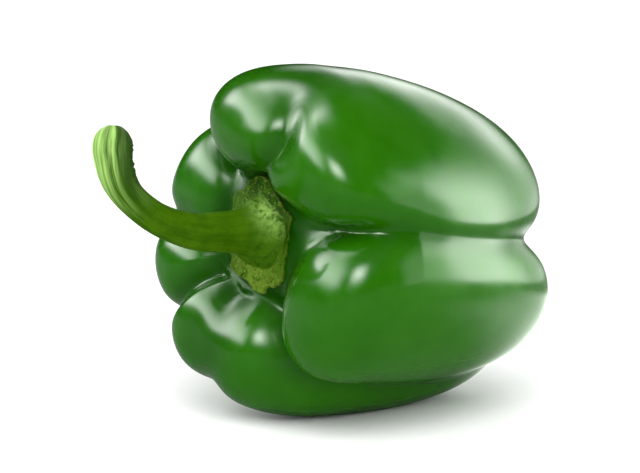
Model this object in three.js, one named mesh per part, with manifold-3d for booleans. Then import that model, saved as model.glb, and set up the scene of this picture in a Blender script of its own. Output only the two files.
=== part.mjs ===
// A green bell pepper lying on its side: the ribbed fruit, and the stem with its calyx in the hollow.
// Sizes are millimetres and angles are degrees. The fruit grows along +X, from the calyx at x = 0 to the
// blossom end, and +Z is up. An angle round the pepper is a turn from the top toward -Y, the near side.

import * as THREE from 'three';
import { mergeVertices } from 'three/addons/utils/BufferGeometryUtils.js';
import Module from 'manifold-3d';

const wasm = await Module();
wasm.setup();

// How the pepper lies, and the gap between its two pieces
const noseDown = 7.4;
const flatDepth = 0.8;
const gap = 0.3;

// The fruit's heart and its lobes. Each one is a long ball beside the axis. middle is where along the axis
// it is fullest, out is how far from the axis its centre line runs, deep and wide are half its size away
// from the axis and round it, stemward and tipward are its half lengths, and taper is the share of its size
// lost at the tip. Two powers say how blunt its ends are: 2 is a ball and 4 is nearly a box. Its ends may
// swing sideways, and above 1 its inner half is flatter than its outer one.
const usualLobe = {
  turn: 0, middle: 19, out: 29, deep: 16, wide: 18, stemward: 25, tipward: 54, taper: 0.15,
  stemBlunt: 2.6, tipBlunt: 2.8, stemSwing: 0, tipSwing: 0, inner: 0.95,
};
const heartLobe = {
  ...usualLobe, middle: 35, out: 0, deep: 23.5, wide: 26.5, stemward: 35, tipward: 32.5, stemBlunt: 4.2,
  tipBlunt: 3.3, inner: 1.2,
};
const lobes = [
  {
    turn: 34, middle: 19.3, out: 29.5, deep: 15, wide: 28, stemward: 28, tipward: 55, taper: 0.13,
    stemBlunt: 3.6, tipBlunt: 2.6, stemSwing: -8, tipSwing: 9.5,
  },
  {
    turn: 114.5, middle: 19.3, deep: 16.3, wide: 23.5, stemward: 23, tipward: 57.5, taper: 0.1,
    stemBlunt: 2.5, tipBlunt: 3.2, stemSwing: 5.5, tipSwing: 8.5,
  },
  {
    turn: 181, out: 31.2, deep: 17, wide: 17.5, stemward: 28, taper: 0.13, stemBlunt: 2.3, tipBlunt: 3.8,
    stemSwing: 16, tipSwing: -14,
  },
  {
    turn: 215, middle: 15, out: 31.7, deep: 15.6, wide: 17.2, taper: 0.35, stemBlunt: 2.7, tipBlunt: 3,
    stemSwing: -8, tipSwing: 4,
  },
  {
    turn: 250, middle: 15, out: 31.3, wide: 18.2, stemward: 23, taper: 0.05, stemBlunt: 2.4,
    stemSwing: -1, tipSwing: -5,
  },
  {
    turn: 288, middle: 18.5, deep: 15, wide: 20.5, stemward: 23.5, tipward: 50, taper: 0.35,
    stemBlunt: 2.8, stemSwing: -4, tipSwing: 7, inner: 0.92,
  },
  {
    turn: 353, middle: 9, out: 30.2, deep: 15, wide: 21, stemward: 22, tipward: 59, taper: 0.41,
    stemBlunt: 2.7, stemSwing: 9,
  },
].map((lobe) => ({ ...usualLobe, ...lobe }));
const taperPower = 1.6;
const swingReach = 1.3;

// The lobes flow into each other over a softness, and a groove is pinched in where two of them meet
const softAt = { shoulder: 1.1, waist: 2.2, tip: 1.7 };
const grooveAt = { shoulder: 2, waist: 0.3 };
const grooveHalfWidth = 2.5;
const grooveFades = [-8, 14];
const grooveDepthFades = 3;
const softens = [5, 30];
const tipFirms = [45, 65];
const farOff = 60;

// The point inside the fruit that its surface is measured from, how far off that surface may be, where along
// the axis the hollow's floor may lie, and how the search for them strides and then halves its step
const heart = 32;
const innermost = 12;
const outermost = 78;
const floorSearch = [-25, 20];
const skinStride = 3;
const floorStride = 1;
const halvings = 14;

// The calyx: a thin six-cornered plate on the floor of the hollow
const calyxCorners = [
  { turn: 8, reach: 17 },
  { turn: 60, reach: 14.2 },
  { turn: 131, reach: 14.8 },
  { turn: 176, reach: 14.4 },
  { turn: 226, reach: 15 },
  { turn: 309, reach: 16 },
];
const calyxThick = 2;
const calyxEdgeThick = 1;
const calyxRoot = 4;
const thinnest = 0.7;
const evenReach = 3;
const evenPoints = 8;

// The stem's route, as points along, near and up, and its radius at shares of the way
const stemRoute = [
  [3, 0.8, 1.5], [-5, 0.8, 1.5], [-13, 0.8, 1.3], [-23.5, 0.6, 1.6], [-36, 0, 5.8], [-44, -2, 12.8],
  [-45.5, -4.5, 20.5], [-44.8, -6, 27],
];
const stemGirth = [
  [0, 9.2], [0.06, 9.2], [0.09, 8.6], [0.12, 7.2], [0.15, 6.1], [0.19, 5.5], [0.24, 5.2], [0.33, 4.9],
  [0.45, 4.4], [0.6, 4], [0.75, 4.1], [0.86, 4.7], [0.91, 5], [0.945, 4.8], [0.97, 4.2], [0.985, 3.4], [1, 2],
];
const stemRibs = 5;
const stemRibShare = 0.05;
const stemRibTwist = 2;
const cutDish = 0.5;

// A block that cuts the flat spot, bigger than the fruit, and how finely the pieces are faceted
const floorBlock = { side: 300, height: 50 };
const fruitFacets = { round: 72, along: 46 };
const calyxFacets = { round: 48, rings: 8 };
const stemSides = 30;
const stemSteps = 44;

const radians = THREE.MathUtils.degToRad;
const clamp = THREE.MathUtils.clamp;
const mix = THREE.MathUtils.lerp;

// How far a point lies outside one lobe, negative inside it
function outsideLobe(lobe, along, near, up) {
  const step = along - lobe.middle;
  const tipShare = clamp(step / lobe.tipward, 0, swingReach);
  const stemShare = clamp(-step / lobe.stemward, 0, swingReach);
  const angle = radians(lobe.turn + lobe.tipSwing * tipShare + lobe.stemSwing * stemShare);
  const size = 1 - lobe.taper * tipShare ** taperPower;
  const away = up * Math.cos(angle) + near * Math.sin(angle) - lobe.out * size;
  const across = near * Math.cos(angle) - up * Math.sin(angle);
  const deep = (away / (lobe.deep * size)) * (away < 0 ? lobe.inner : 1);
  const wide = across / (lobe.wide * size);
  const section = Math.hypot(deep, wide);
  const length = Math.abs(step) / (step < 0 ? lobe.stemward : lobe.tipward);
  const blunt = step < 0 ? lobe.stemBlunt : lobe.tipBlunt;
  const whole = (section ** blunt + length ** blunt) ** (1 / blunt);
  return (whole - 1) * Math.min(lobe.deep, lobe.wide) * size;
}

// How far a point lies outside the whole fruit: the lobes flow into each other over the groove's softness
function outsideFruit(along, near, up) {
  const waist = THREE.MathUtils.smoothstep(along, ...softens);
  const tip = THREE.MathUtils.smoothstep(along, ...tipFirms);
  const soft = mix(mix(softAt.shoulder, softAt.waist, waist), softAt.tip, tip);
  const pinch = mix(grooveAt.shoulder, grooveAt.waist, THREE.MathUtils.smoothstep(along, ...grooveFades));
  const core = outsideLobe(heartLobe, along, near, up);
  const nearest = lobes.map((lobe) => outsideLobe(lobe, along, near, up)).sort((a, b) => a - b);
  let sum = Math.exp(clamp(-core / soft, -farOff, farOff));
  for (const outside of nearest) sum += Math.exp(clamp(-outside / soft, -farOff, farOff));
  const apart = (nearest[1] - nearest[0]) / grooveHalfWidth;
  const overCore = THREE.MathUtils.smoothstep(core - nearest[0], 0, grooveDepthFades);
  return pinch * overCore * Math.exp(-apart * apart) - soft * Math.log(sum);
}

// The fruit's surface as seen from its heart: the first place along a ray where the ray leaves the lobes
function surfaceDistance(ray) {
  const outside = (d) => outsideFruit(heart + ray.x * d, -ray.y * d, ray.z * d);
  let low = innermost;
  while (low < outermost && outside(low + skinStride) < 0) low += skinStride;
  let high = low + skinStride;
  for (let i = 0; i < halvings; i += 1) {
    const middle = (low + high) / 2;
    if (outside(middle) < 0) low = middle;
    else high = middle;
  }
  return (low + high) / 2;
}

// The height of the hollow's floor, met by looking in along +X beside the axis
function hollowFloor(near, up) {
  const deepest = floorSearch[1];
  let low = floorSearch[0];
  while (low < deepest && outsideFruit(low + floorStride, near, up) > 0) low += floorStride;
  let high = low + floorStride;
  for (let i = 0; i < halvings; i += 1) {
    const middle = (low + high) / 2;
    if (outsideFruit(middle, near, up) > 0) low = middle;
    else high = middle;
  }
  return (low + high) / 2;
}

// Moves every point of a geometry by a rule and leaves it as bare joined triangles
function reshaped(geometry, rule) {
  const bare = geometry.clone();
  bare.deleteAttribute('normal');
  bare.deleteAttribute('uv');
  const place = bare.getAttribute('position');
  const point = new THREE.Vector3();
  for (let i = 0; i < place.count; i += 1) {
    rule(point.fromBufferAttribute(place, i));
    place.setXYZ(i, point.x, point.y, point.z);
  }
  return mergeVertices(bare, 1e-3);
}

function toSolid(geometry) {
  const vertProperties = new Float32Array(geometry.getAttribute('position').array);
  const triVerts = new Uint32Array(geometry.getIndex().array);
  return new wasm.Manifold(new wasm.Mesh({ numProp: 3, vertProperties, triVerts }));
}

function toGeometry(solid) {
  const { vertProperties, triVerts } = solid.getMesh();
  const geometry = new THREE.BufferGeometry();
  geometry.setAttribute('position', new THREE.BufferAttribute(new Float32Array(vertProperties), 3));
  geometry.setIndex(new THREE.BufferAttribute(new Uint32Array(triVerts), 1));
  geometry.computeVertexNormals();
  return geometry;
}

// The fruit's skin, grown outward by a margin
function fruitSkin(margin) {
  const ball = new THREE.SphereGeometry(1, fruitFacets.round, fruitFacets.along).rotateZ(Math.PI / 2);
  return reshaped(ball, (point) => {
    const ray = point.clone().normalize();
    point.copy(ray).multiplyScalar(surfaceDistance(ray) + margin);
    point.x += heart;
  });
}

// The calyx's reach at a turn: straight sides between its corners
function calyxReach(turn) {
  const corners = calyxCorners;
  for (let i = 0; i < corners.length; i += 1) {
    const from = corners[i];
    const to = corners[(i + 1) % corners.length];
    const span = (to.turn - from.turn + 360) % 360;
    const past = (turn - from.turn + 720) % 360;
    if (past <= span) {
      const left = radians(span - past);
      const right = radians(past);
      const side = from.reach * to.reach * Math.sin(radians(span));
      return side / (from.reach * Math.sin(right) + to.reach * Math.sin(left));
    }
  }
  return corners[0].reach;
}

// The height of a calyx's skin: the floor's, evened out over a few millimetres, and never under the floor
function calyxTop(near, up, thick) {
  let sum = 0;
  for (let i = 0; i < evenPoints; i += 1) {
    const angle = (2 * Math.PI * i) / evenPoints;
    sum += hollowFloor(near + evenReach * Math.sin(angle), up + evenReach * Math.cos(angle));
  }
  return Math.min(sum / evenPoints - thick, hollowFloor(near, up) - thinnest) - gap;
}

// A plate that follows the hollow's floor, with its root in the fruit to be cut away
function calyxPlate() {
  const profile = [];
  for (let i = 0; i <= calyxFacets.rings; i += 1) profile.push(new THREE.Vector2(i / calyxFacets.rings, 1));
  for (let i = calyxFacets.rings; i >= 0; i -= 1) profile.push(new THREE.Vector2(i / calyxFacets.rings, 0));
  const disc = new THREE.LatheGeometry(profile, calyxFacets.round);
  return reshaped(disc, (point) => {
    const share = Math.hypot(point.x, point.z);
    const angle = Math.atan2(point.x, point.z);
    const reach = share * calyxReach(THREE.MathUtils.radToDeg(angle));
    const near = reach * Math.sin(angle);
    const up = reach * Math.cos(angle);
    const thick = mix(calyxThick, calyxEdgeThick, share);
    const height = point.y > 0.5 ? calyxTop(near, up, thick) : hollowFloor(near, up) + calyxRoot;
    point.set(height, -near, up);
  });
}

// The ribbed stem: a turned profile bent along the stem's route, from its flared foot to its cut end
function stemRod() {
  const stops = stemRoute.map(([along, near, up]) => new THREE.Vector3(along, -near, up));
  const route = new THREE.CatmullRomCurve3(stops);
  const girth = new THREE.SplineCurve(stemGirth.map(([share, radius]) => new THREE.Vector2(radius, share)));
  const profile = [new THREE.Vector2(0, 0)];
  profile.push(...girth.getPoints(stemSteps));
  profile.push(new THREE.Vector2(0, 1));
  const turned = new THREE.LatheGeometry(profile, stemSides);
  const across = new THREE.Vector3(0, 1, 0);
  const length = route.getLength();
  return reshaped(turned, (point) => {
    const radius = Math.hypot(point.x, point.z);
    const angle = Math.atan2(point.x, point.z);
    const share = clamp(point.y, 0, 1);
    const tangent = route.getTangentAt(share);
    const side = across.clone().addScaledVector(tangent, -across.dot(tangent)).normalize();
    const over = new THREE.Vector3().crossVectors(side, tangent);
    const rib = 1 + stemRibShare * Math.cos(stemRibs * angle + stemRibTwist * share);
    const dish = radius === 0 && share === 1 ? cutDish / length : 0;
    point.copy(route.getPointAt(share - dish));
    point.addScaledVector(side, radius * rib * Math.sin(angle));
    point.addScaledVector(over, radius * rib * Math.cos(angle));
  });
}

function fruitMaterial() {
  return new THREE.MeshStandardMaterial({ color: 0x2f7d12, roughness: 0.22, metalness: 0 });
}

function stemMaterial() {
  return new THREE.MeshStandardMaterial({ color: 0x5c7a1e, roughness: 0.6, metalness: 0 });
}

// Lays the group on z = 0 with the middle of its box over the origin
function layDown(group) {
  const box = new THREE.Box3().setFromObject(group, true);
  const middle = box.getCenter(new THREE.Vector3());
  group.position.set(-middle.x, -middle.y, -box.min.z);
}

function buildPepper() {
  const pepper = new THREE.Group();
  pepper.rotation.y = radians(noseDown);
  pepper.updateMatrixWorld(true);

  // The flat spot that the fruit rests on is cut level, whatever way the fruit is tilted
  const skin = fruitSkin(0);
  const lying = skin.clone().applyMatrix4(pepper.matrixWorld);
  lying.computeBoundingBox();
  const floor = new THREE.BoxGeometry(floorBlock.side, floorBlock.side, floorBlock.height);
  floor.translate(0, 0, lying.boundingBox.min.z + flatDepth - floorBlock.height / 2);
  floor.applyMatrix4(pepper.matrixWorld.clone().invert());
  const fruitSolid = toSolid(skin).subtract(toSolid(reshaped(floor, () => {})));
  const fruit = new THREE.Mesh(toGeometry(fruitSolid), fruitMaterial());
  fruit.name = 'fruit';
  pepper.add(fruit);

  // The stem and the calyx grew as one piece, and stand clear of the fruit by the gap
  const green = toSolid(calyxPlate()).add(toSolid(stemRod())).subtract(toSolid(fruitSkin(gap)));
  const stem = new THREE.Mesh(toGeometry(green), stemMaterial());
  stem.name = 'stem_with_calyx';
  pepper.add(stem);

  layDown(pepper);
  return pepper;
}

export default buildPepper();
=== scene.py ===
import bpy
import bmesh
import math
import numpy as np
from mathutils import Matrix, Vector


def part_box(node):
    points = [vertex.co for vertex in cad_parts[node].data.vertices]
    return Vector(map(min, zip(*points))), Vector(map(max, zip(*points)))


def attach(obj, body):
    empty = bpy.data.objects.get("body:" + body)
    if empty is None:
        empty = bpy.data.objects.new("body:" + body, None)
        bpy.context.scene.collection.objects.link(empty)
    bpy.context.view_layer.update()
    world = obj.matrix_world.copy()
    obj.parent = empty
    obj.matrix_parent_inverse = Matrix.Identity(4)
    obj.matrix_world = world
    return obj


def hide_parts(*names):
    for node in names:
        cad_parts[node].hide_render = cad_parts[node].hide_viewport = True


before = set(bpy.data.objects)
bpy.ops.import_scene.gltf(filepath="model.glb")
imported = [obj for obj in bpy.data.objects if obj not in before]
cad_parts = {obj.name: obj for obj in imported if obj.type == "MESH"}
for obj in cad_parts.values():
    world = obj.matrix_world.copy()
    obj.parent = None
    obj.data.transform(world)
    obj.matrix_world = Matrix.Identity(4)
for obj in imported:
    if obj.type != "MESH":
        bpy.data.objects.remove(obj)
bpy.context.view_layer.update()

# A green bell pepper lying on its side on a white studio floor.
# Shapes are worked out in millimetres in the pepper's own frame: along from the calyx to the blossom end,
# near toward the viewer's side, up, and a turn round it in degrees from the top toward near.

mm = 0.001


# node helpers, for shader trees and geometry trees alike

def addNode(tree, kind, inputs=None, **settings):
    made = tree.nodes.new(kind)
    for name, value in settings.items():
        setattr(made, name, value)
    for socket, value in (inputs or {}).items():
        if isinstance(value, bpy.types.NodeSocket):
            tree.links.new(value, made.inputs[socket])
        else:
            made.inputs[socket].default_value = value
    return made


def calc(tree, operation, *values):
    return addNode(tree, "ShaderNodeMath", dict(enumerate(values)), operation=operation).outputs[0]


def times(tree, *values):
    return calc(tree, "MULTIPLY", *values)


def plus(tree, *values):
    return calc(tree, "ADD", *values)


def vectorCalc(tree, operation, *values, out=0):
    made = addNode(tree, "ShaderNodeVectorMath", dict(enumerate(values)), operation=operation)
    return made.outputs[out]


def scaled(tree, vector, amount):
    return addNode(tree, "ShaderNodeVectorMath", {0: vector, "Scale": amount}, operation="SCALE").outputs[0]


def rangeOf(tree, value, low, high, newLow=0.0, newHigh=1.0, smooth=True):
    ends = {"Value": value, "From Min": low, "From Max": high, "To Min": newLow, "To Max": newHigh}
    kind = "SMOOTHSTEP" if smooth else "LINEAR"
    return addNode(tree, "ShaderNodeMapRange", ends, interpolation_type=kind).outputs["Result"]


def mixColours(tree, share, first, second):
    return addNode(tree, "ShaderNodeMix", {0: share, 6: first, 7: second}, data_type="RGBA").outputs[2]


def noise(tree, vector, scale, detail=2.0, rough=0.5, seed=None):
    inputs = {"Vector": vector, "Scale": scale, "Detail": detail, "Roughness": rough}
    if seed is None:
        return addNode(tree, "ShaderNodeTexNoise", inputs).outputs[0]
    return addNode(tree, "ShaderNodeTexNoise", {**inputs, "W": seed}, noise_dimensions="4D").outputs[0]


def addBump(tree, shader, height, strength, depth):
    bump = addNode(tree, "ShaderNodeBump", {"Height": height, "Strength": strength, "Distance": depth})
    tree.links.new(bump.outputs["Normal"], shader.inputs["Normal"])


def readAttribute(tree, name, out="Fac"):
    return addNode(tree, "ShaderNodeAttribute", attribute_name=name).outputs[out]


def newMaterial(name):
    material = bpy.data.materials.new(name)
    material.use_nodes = True
    tree = material.node_tree
    shader = next(n for n in tree.nodes if n.type == "BSDF_PRINCIPLED")
    return material, tree, shader


def addObject(name, data):
    made = bpy.data.objects.new(name, data)
    bpy.context.scene.collection.objects.link(made)
    return made


# geometry trees, whose inputs are given as name, kind and value

def startTree(name, inputs):
    tree = bpy.data.node_groups.new(name, "GeometryNodeTree")
    tree.interface.new_socket("Geometry", in_out="INPUT", socket_type="NodeSocketGeometry")
    sockets = {}
    for label, kind, _ in inputs:
        sockets[label] = tree.interface.new_socket(label, in_out="INPUT", socket_type=kind).identifier
    tree.interface.new_socket("Geometry", in_out="OUTPUT", socket_type="NodeSocketGeometry")
    return tree, sockets, addNode(tree, "NodeGroupInput").outputs


def endTree(tree, geometry, material):
    real = addNode(tree, "GeometryNodeRealizeInstances", {"Geometry": geometry})
    coloured = addNode(tree, "GeometryNodeSetMaterial", {"Geometry": real.outputs[0], "Material": material})
    addNode(tree, "NodeGroupOutput", {"Geometry": coloured.outputs[0]})


def runTree(holder, name, tree, sockets, inputs):
    # the holder's shape goes through the tree once and stays as a plain mesh
    modifier = holder.modifiers.new(tree.name, "NODES")
    modifier.node_group = tree
    for label, _, value in inputs:
        modifier[sockets[label]] = value
    ready = holder.evaluated_get(bpy.context.evaluated_depsgraph_get())
    mesh = bpy.data.meshes.new_from_object(ready)
    mesh.shade_smooth()
    holder.modifiers.remove(modifier)
    bpy.data.objects.remove(holder)
    return addObject(name, mesh)


# the fruit's form: a heart and seven long lobes that flow into each other

usualLobe = {
    "turn": 0, "middle": 19, "out": 29, "deep": 16, "wide": 18, "stemward": 25, "tipward": 54, "taper": 0.15,
    "stemBlunt": 2.6, "tipBlunt": 2.8, "stemSwing": 0, "tipSwing": 0, "inner": 0.95,
}
heartLobe = {
    **usualLobe, "middle": 35, "out": 0, "deep": 23.5, "wide": 26.5, "stemward": 35, "tipward": 32.5,
    "stemBlunt": 4.2, "tipBlunt": 3.3, "inner": 1.2,
}
lobes = [{**usualLobe, **own} for own in (
    {"turn": 34, "middle": 19.3, "out": 29.5, "deep": 15, "wide": 28, "stemward": 28, "tipward": 55,
     "taper": 0.13, "stemBlunt": 3.6, "tipBlunt": 2.6, "stemSwing": -8, "tipSwing": 9.5},
    {"turn": 114.5, "middle": 19.3, "deep": 16.3, "wide": 23.5, "stemward": 23, "tipward": 57.5, "taper": 0.1,
     "stemBlunt": 2.5, "tipBlunt": 3.2, "stemSwing": 5.5, "tipSwing": 8.5},
    {"turn": 181, "out": 31.2, "deep": 17, "wide": 17.5, "stemward": 28, "taper": 0.13, "stemBlunt": 2.3,
     "tipBlunt": 3.8, "stemSwing": 16, "tipSwing": -14},
    {"turn": 215, "middle": 15, "out": 31.7, "deep": 15.6, "wide": 17.2, "taper": 0.35, "stemBlunt": 2.7,
     "tipBlunt": 3, "stemSwing": -8, "tipSwing": 4},
    {"turn": 250, "middle": 15, "out": 31.3, "wide": 18.2, "stemward": 23, "taper": 0.05, "stemBlunt": 2.4,
     "stemSwing": -1, "tipSwing": -5},
    {"turn": 288, "middle": 18.5, "deep": 15, "wide": 20.5, "stemward": 23.5, "tipward": 50, "taper": 0.35,
     "stemBlunt": 2.8, "stemSwing": -4, "tipSwing": 7, "inner": 0.92},
    {"turn": 353, "middle": 9, "out": 30.2, "deep": 15, "wide": 21, "stemward": 22, "tipward": 59,
     "taper": 0.41, "stemBlunt": 2.7, "stemSwing": 9},
)]
fruit = {
    "noseDown": 7.4, "flatDepth": 0.8, "heart": 32.0,  # how it lies, and where the heart's middle is along
    "innermost": 12.0, "stride": 3.0, "strides": 22, "halvings": 13,  # how the skin is looked for from there
    "softShoulder": 1.1, "softWaist": 2.2, "softTip": 1.7, "softens": (5, 30), "tipFirms": (45, 65),
    "grooveShoulder": 2.0, "grooveWaist": 0.3, "grooveHalfWidth": 2.5, "grooveFades": (-8, 14),
    "grooveDepth": 3,
    "around": 320, "lengthwise": 300, "evenRows": 150, "evenRounds": 12, "evenFade": 12, "evenPull": 0.7,
    "evenLift": 0.6, "relief": 0.06, "reliefWaves": (45.0, 13.0), "reliefSeed": 5,
    "scarRadius": 3.2, "scarDepth": 0.8, "hollowEdge": (-22, -15), "middle": 30,
    "swells": (((-8.0, 8.0, 21.0), 7.0, 1.6), ((-12.0, 9.0, 37.0), 8.0, -1.2)),  # place, size, height
}
hollowSearch = {"start": -25.0, "steps": 60, "halvings": 12}


def smoothStep(value, low, high):
    share = np.clip((value - low) / (high - low), 0, 1)
    return share * share * (3 - 2 * share)


def outsideLobe(lobe, along, near, up):
    step = along - lobe["middle"]
    tipShare = np.clip(step / lobe["tipward"], 0, 1.3)
    stemShare = np.clip(-step / lobe["stemward"], 0, 1.3)
    angle = np.radians(lobe["turn"] + lobe["tipSwing"] * tipShare + lobe["stemSwing"] * stemShare)
    size = 1 - lobe["taper"] * tipShare ** 1.6
    away = up * np.cos(angle) + near * np.sin(angle) - lobe["out"] * size
    across = near * np.cos(angle) - up * np.sin(angle)
    deep = away / (lobe["deep"] * size) * np.where(away < 0, lobe["inner"], 1)
    section = np.hypot(deep, across / (lobe["wide"] * size))
    length = np.abs(step) / np.where(step < 0, lobe["stemward"], lobe["tipward"])
    blunt = np.where(step < 0, lobe["stemBlunt"], lobe["tipBlunt"])
    return ((section ** blunt + length ** blunt) ** (1 / blunt) - 1) * min(lobe["deep"], lobe["wide"]) * size


def outsideFruit(along, near, up, withGroove=False):
    waist = smoothStep(along, *fruit["softens"])
    tip = smoothStep(along, *fruit["tipFirms"])
    soft = fruit["softShoulder"] * (1 - waist) + fruit["softWaist"] * waist
    soft = soft * (1 - tip) + fruit["softTip"] * tip
    fade = smoothStep(along, *fruit["grooveFades"])
    pinch = fruit["grooveShoulder"] * (1 - fade) + fruit["grooveWaist"] * fade
    core = outsideLobe(heartLobe, along, near, up)
    each = np.sort(np.stack([outsideLobe(lobe, along, near, up) for lobe in lobes]), 0)
    total = np.exp(np.clip(-core / soft, -60, 60)) + np.exp(np.clip(-each / soft, -60, 60)).sum(0)
    groove = np.exp(-((each[1] - each[0]) / fruit["grooveHalfWidth"]) ** 2)
    value = pinch * smoothStep(core - each[0], 0, fruit["grooveDepth"]) * groove - soft * np.log(total)
    return (value, groove) if withGroove else value


def skinDistance(rays):
    # the first place along each ray from the heart where it leaves the fruit
    def outside(chosen, distance):
        along, near, up = chosen.T * distance
        return outsideFruit(fruit["heart"] + along, near, up)

    low = np.full(len(rays), fruit["innermost"])
    going = np.arange(len(rays))
    for _ in range(fruit["strides"]):
        inside = outside(rays[going], low[going] + fruit["stride"]) < 0
        going = going[inside]
        if len(going) == 0:
            break
        low[going] += fruit["stride"]
    high = low + fruit["stride"]
    for _ in range(fruit["halvings"]):
        middle = (low + high) / 2
        inside = outside(rays, middle) < 0
        low = np.where(inside, middle, low)
        high = np.where(inside, high, middle)
    return (low + high) / 2


def hollowFloor(near, up):
    # how far along the floor of the hollow lies, looking in beside the axis
    near, up = np.broadcast_arrays(np.asarray(near, float), np.asarray(up, float))
    low = np.full(near.shape, hollowSearch["start"])
    searching = np.ones(near.shape, bool)
    for _ in range(hollowSearch["steps"]):
        searching &= outsideFruit(low + 1, near, up) > 0
        if not searching.any():
            break
        low = np.where(searching, low + 1, low)
    high = low + 1
    for _ in range(hollowSearch["halvings"]):
        middle = (low + high) / 2
        outside = outsideFruit(middle, near, up) > 0
        low = np.where(outside, middle, low)
        high = np.where(outside, high, middle)
    return (low + high) / 2


def ripple(points, seed, longest, shortest, count=26):
    # soft random relief about one unit high: cosines in random headings, each as high as it is long
    rng = np.random.default_rng(seed)
    total = np.zeros(len(points))
    power = 0.0
    for _ in range(count):
        heading = rng.normal(size=3)
        heading /= np.linalg.norm(heading)
        wave = shortest * (longest / shortest) ** rng.random()
        share = wave / longest
        total += share * np.cos(points @ heading * (2 * math.pi / wave) + rng.random() * 2 * math.pi)
        power += share ** 2 / 2
    return total / math.sqrt(power)


def lieDown(points):
    # own frame to the row frame's directions, still in millimetres
    tilt = math.radians(fruit["noseDown"])
    along, near, up = points[:, 0], points[:, 1], points[:, 2]
    forward = along * math.cos(tilt) + up * math.sin(tilt)
    upward = up * math.cos(tilt) - along * math.sin(tilt)
    return np.stack([forward, -near, upward], 1)


def ringFaces(rows, around, firstPole=None, lastPole=None):
    # quads between rings of points, with a fan at each pole
    ring = np.arange(around)
    following = (ring + 1) % around
    faces = []
    for row in range(rows - 1):
        lower, upper = row * around, (row + 1) * around
        faces += np.stack([lower + ring, lower + following, upper + following, upper + ring], 1).tolist()
    if firstPole is not None:
        faces += [(firstPole, b, a) for a, b in zip(ring.tolist(), following.tolist())]
    if lastPole is not None:
        base = (rows - 1) * around
        faces += [(base + a, base + b, lastPole) for a, b in zip(ring.tolist(), following.tolist())]
    return faces


def meshPiece(name, points, faces, attributes, material):
    mesh = bpy.data.meshes.new(name)
    mesh.from_pydata([tuple(p) for p in points], [], faces)
    for label, values in attributes.items():
        values = np.asarray(values, np.float32)
        if values.ndim == 2:
            mesh.attributes.new(label, "FLOAT_VECTOR", "POINT").data.foreach_set("vector", values.ravel())
        else:
            mesh.attributes.new(label, "FLOAT", "POINT").data.foreach_set("value", values)
    mesh.shade_smooth()
    mesh.materials.append(material)
    return addObject(name, mesh)


def faceOutward(piece):
    sheet = bmesh.new()
    sheet.from_mesh(piece.data)
    bmesh.ops.recalc_face_normals(sheet, faces=sheet.faces)
    if sheet.calc_volume(signed=True) < 0:
        bmesh.ops.reverse_faces(sheet, faces=sheet.faces)
    sheet.to_mesh(piece.data)
    sheet.free()
    piece.data.shade_smooth()


# skin material

skinLook = {
    # the groove and hollow colours are painted shade, and the hollow's gloss tint is painted shade on its
    # reflections
    "deep": (0.011, 0.089, 0.0, 1), "fresh": (0.018, 0.118, 0.0, 1), "groove": (0.006, 0.052, 0.0, 1),
    "scar": (0.055, 0.075, 0.012, 1), "hollow": (0.002, 0.028, 0.0, 1), "hollowGloss": (0.1, 0.1, 0.1, 1),
    "patchScale": 22.0, "mottleScale": 160.0, "patchShare": 0.7, "mottleShare": 0.3,
    "grooveShare": 0.6, "hollowShare": 0.75, "scarScale": 900.0, "scarRagged": 0.25, "scarEdge": (0.55, 0.85),
    "roughness": 0.18, "smoother": 0.02, "rougher": 0.03, "hollowRoughness": 0.32, "specular": 0.2,
    "poreScale": 1400.0, "poreShare": 0.2, "dappleScale": 260.0, "bumpStrength": 0.04, "bumpDepth": 0.0003,
}


def pepperSkinMaterial():
    look = skinLook
    material, tree, shader = newMaterial("pepperSkin")
    place = addNode(tree, "ShaderNodeTexCoord").outputs["Object"]
    patch = rangeOf(tree, noise(tree, place, look["patchScale"], 2.0), 0.3, 0.7)
    mottle = rangeOf(tree, noise(tree, place, look["mottleScale"], 4.0, 0.6), 0.35, 0.65)
    blend = plus(tree, times(tree, patch, look["patchShare"]), times(tree, mottle, look["mottleShare"]))
    colour = mixColours(tree, blend, look["deep"], look["fresh"])
    # painted shade darkens the grooves between the lobes
    creaseShade = times(tree, readAttribute(tree, "groove"), look["grooveShare"])
    colour = mixColours(tree, creaseShade, colour, look["groove"])
    ragged = times(tree, noise(tree, place, look["scarScale"], 3.0), look["scarRagged"])
    scarShare = rangeOf(tree, plus(tree, readAttribute(tree, "scar"), ragged), *look["scarEdge"])
    colour = mixColours(tree, scarShare, colour, look["scar"])
    # painted shade darkens the hollow round the calyx
    hollow = readAttribute(tree, "hollow")
    colour = mixColours(tree, times(tree, hollow, look["hollowShare"]), colour, look["hollow"])
    tree.links.new(colour, shader.inputs["Base Color"])
    ends = look["roughness"] - look["smoother"], look["roughness"] + look["rougher"]
    gloss = rangeOf(tree, mottle, 0.0, 1.0, *ends, smooth=False)
    gloss = rangeOf(tree, hollow, 0.0, 1.0, gloss, look["hollowRoughness"])
    tree.links.new(gloss, shader.inputs["Roughness"])
    # painted shade dims the reflections in the hollow through the specular tint
    shadedSheen = mixColours(tree, hollow, (1, 1, 1, 1), look["hollowGloss"])
    tree.links.new(shadedSheen, shader.inputs["Specular Tint"])
    pores = times(tree, noise(tree, place, look["poreScale"], 2.0), look["poreShare"])
    height = plus(tree, pores, noise(tree, place, look["dappleScale"], 3.0))
    addBump(tree, shader, height, look["bumpStrength"], look["bumpDepth"])
    shader.inputs["Specular IOR Level"].default_value = look["specular"]
    return material


def outwardAt(points):
    # how far outside the fruit each point is, and the way out
    value = outsideFruit(*points.T)
    step = 0.02
    slope = np.stack([outsideFruit(*(points + step * np.eye(3)[k]).T) - value for k in range(3)], 1) / step
    steep = np.linalg.norm(slope, axis=1)
    return value / steep, slope / steep[:, None]


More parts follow.
